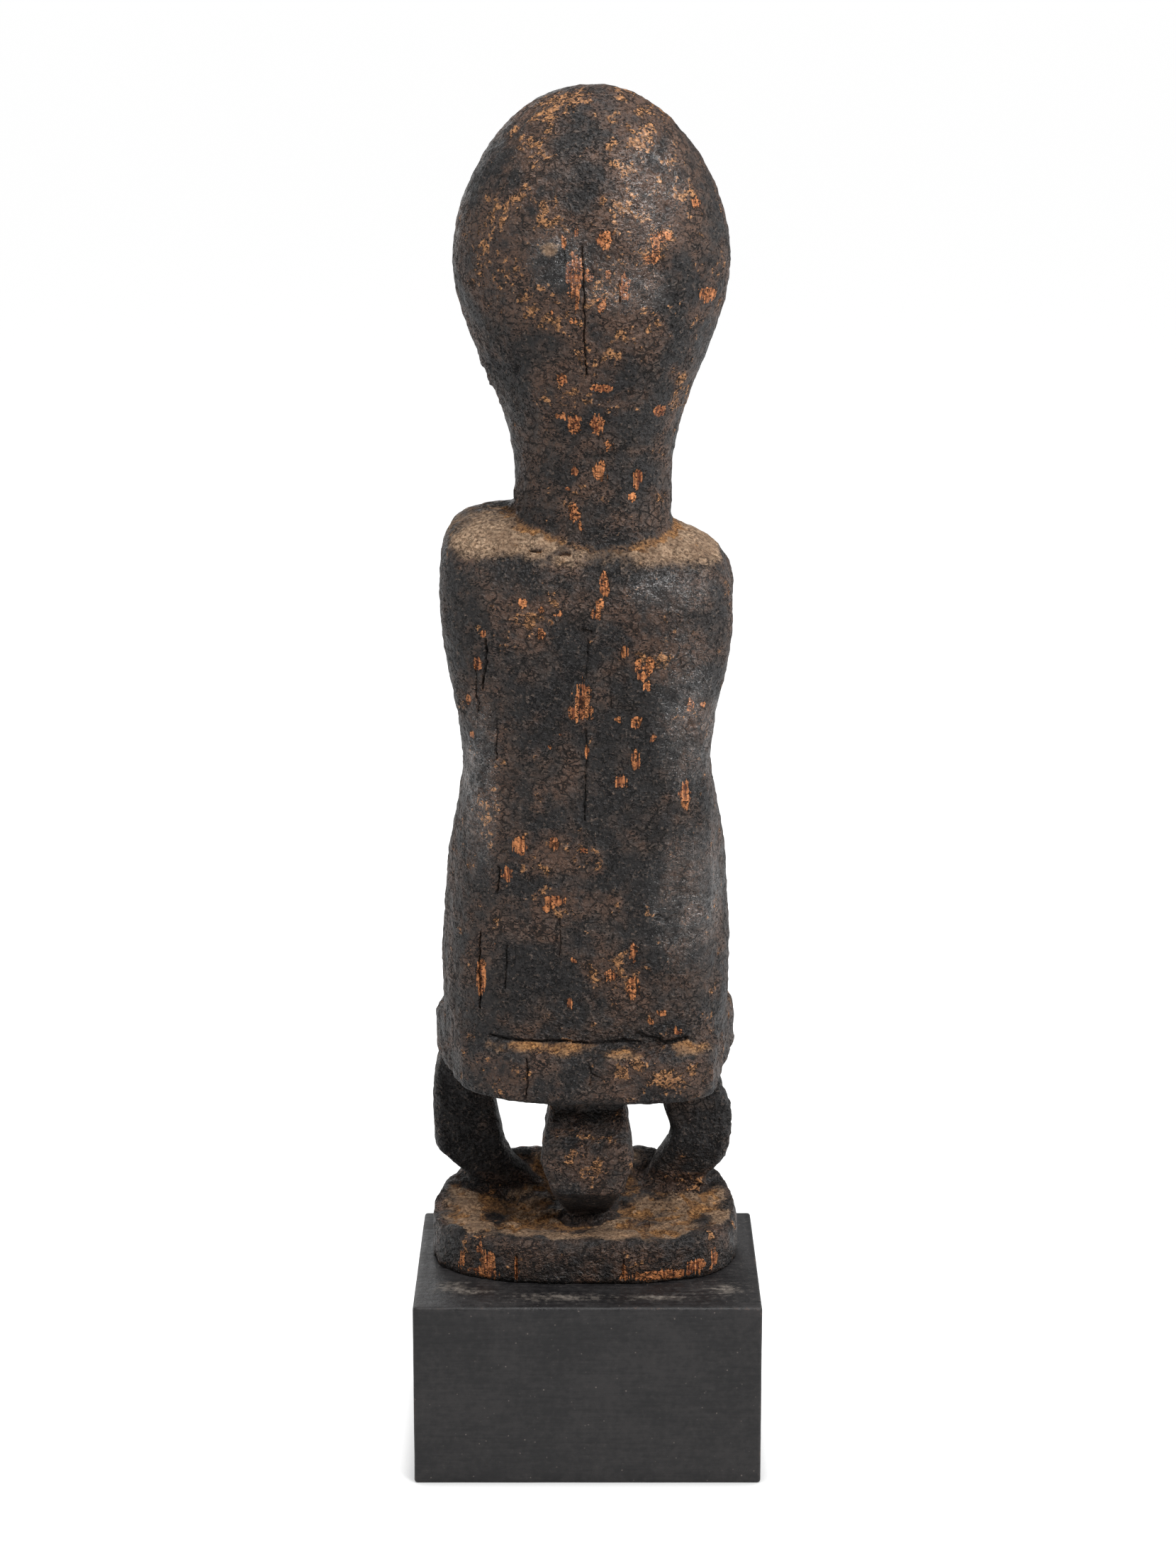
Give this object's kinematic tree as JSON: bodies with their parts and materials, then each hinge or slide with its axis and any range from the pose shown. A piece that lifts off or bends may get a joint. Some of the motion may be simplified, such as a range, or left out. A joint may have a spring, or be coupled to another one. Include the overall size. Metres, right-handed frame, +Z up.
{
  "type": "carved wooden figure",
  "caption": "Carved wooden figure squatting on a kinked-leg pedestal, fitted to a block plinth.",
  "frame": {"origin": "middle of the plinth's underside", "axes": "+Z up, +Y the way the figure faces, +X to its right hand side"},
  "size_m": [0.12, 0.096, 0.4744],
  "materials": {
    "patinated_wood": "dark encrusted patina worn through to orange-brown wood",
    "painted_wood": "matt black paint"
  },
  "bodies": {
    "root": {"carved_figure": "patinated_wood", "plinth": "painted_wood"}
  },
  "joints": []
}
